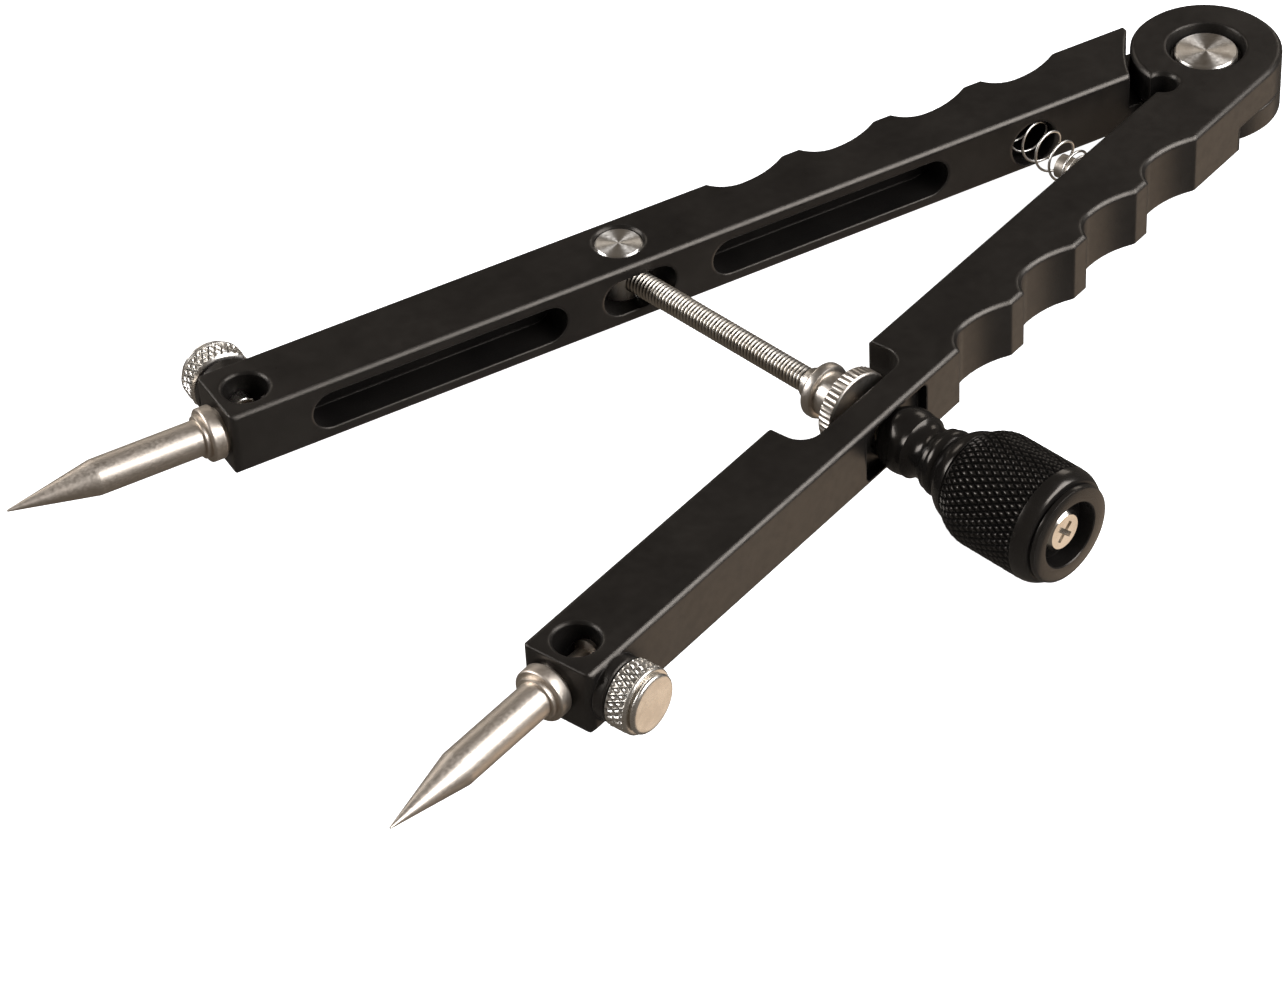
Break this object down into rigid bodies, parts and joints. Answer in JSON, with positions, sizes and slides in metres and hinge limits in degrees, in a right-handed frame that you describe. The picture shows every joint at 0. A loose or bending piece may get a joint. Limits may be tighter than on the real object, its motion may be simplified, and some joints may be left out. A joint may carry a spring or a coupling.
{
  "type": "drawing compass",
  "caption": "Screw-adjusted two-point compass: two straight black arms on a lapped pivot, knurled knob, return spring and clamped steel points.",
  "frame": {"origin": "on the pivot axis, in the flat underside of the arms", "axes": "+Z along the pivot axis out of the visible top faces; +X from the pivot towards the points, midway between the arms; the knob arm is on the +Y side"},
  "size_m": [0.1594, 0.0875, 0.0135],
  "materials": {
    "black_anodised": "satin black anodised",
    "turned_steel": "fine turned",
    "thread_steel": "satin",
    "bright_nickel": "bright, knurled",
    "point_steel": "satin ground",
    "spring_steel": "bright wire"
  },
  "bodies": {
    "nut_arm": {"nut_arm": "black_anodised", "pivot_post": "turned_steel", "pivot_nut": "turned_steel", "pivot_washer": "turned_steel", "return_spring": "spring_steel", "nut_arm_point": "point_steel"},
    "knob_arm": {"knob_arm": "black_anodised", "spring_guide": "spring_steel", "knob_arm_point": "point_steel"},
    "barrel_nut": {"barrel_nut": "turned_steel"},
    "seat_ring": {"seat_ring": "turned_steel"},
    "adjusting_screw": {"threaded_rod": "thread_steel", "adjusting_knob": "black_anodised", "knob_screw": "bright_nickel"},
    "lock_nut": {"lock_nut": "bright_nickel"},
    "nut_arm_thumb_screw": {"nut_arm_thumb_screw": "bright_nickel"},
    "knob_arm_thumb_screw": {"knob_arm_thumb_screw": "bright_nickel"}
  },
  "joints": [
    {"name": "arm_hinge", "type": "hinge", "parent": "nut_arm", "child": "knob_arm", "pos_m": [0, 0, 0.004], "axis": [0, 0, 1], "range_deg": [-17.68, 1.55], "deforming": ["return_spring"]},
    {"name": "nut_swivel", "type": "hinge", "parent": "nut_arm", "child": "barrel_nut", "pos_m": [0.07491, -0.01966, 0.004], "axis": [0, 0, 1], "range_deg": [-7.21, 0.64]},
    {"name": "screw_feed", "type": "slide", "parent": "barrel_nut", "child": "seat_ring", "axis": [0.0706, -0.9975, 0], "range_m": [-0.00201, 0.02301]},
    {"name": "knob_turn", "type": "hinge", "parent": "seat_ring", "child": "adjusting_screw", "pos_m": [0.07174, 0.02515, 0.00375], "axis": [0.0706, -0.9975, 0], "range_deg": [-1440, 16560]},
    {"name": "lock_nut_turn", "type": "hinge", "parent": "adjusting_screw", "child": "lock_nut", "pos_m": [0.07245, 0.01517, 0.00375], "axis": [0.0706, -0.9975, 0], "range_deg": [-540, 540]},
    {"name": "nut_arm_thumb_screw_turn", "type": "hinge", "parent": "nut_arm", "child": "nut_arm_thumb_screw", "pos_m": [0.12164, -0.0277, 0.004], "axis": [-0.1934, -0.9811, 0], "range_deg": [0, 720]},
    {"name": "knob_arm_thumb_screw_turn", "type": "hinge", "parent": "knob_arm", "child": "knob_arm_thumb_screw", "pos_m": [0.12164, 0.0277, 0.004], "axis": [-0.1934, 0.9811, 0], "range_deg": [0, 720]}
  ],
  "couplings": [
    {"joint": "arm_hinge", "follows": "knob_turn", "ratio": -0.001067},
    {"joint": "nut_swivel", "follows": "knob_turn", "ratio": -0.00043449},
    {"joint": "screw_feed", "follows": "knob_turn", "m_per_rad": 0.000079577}
  ]
}
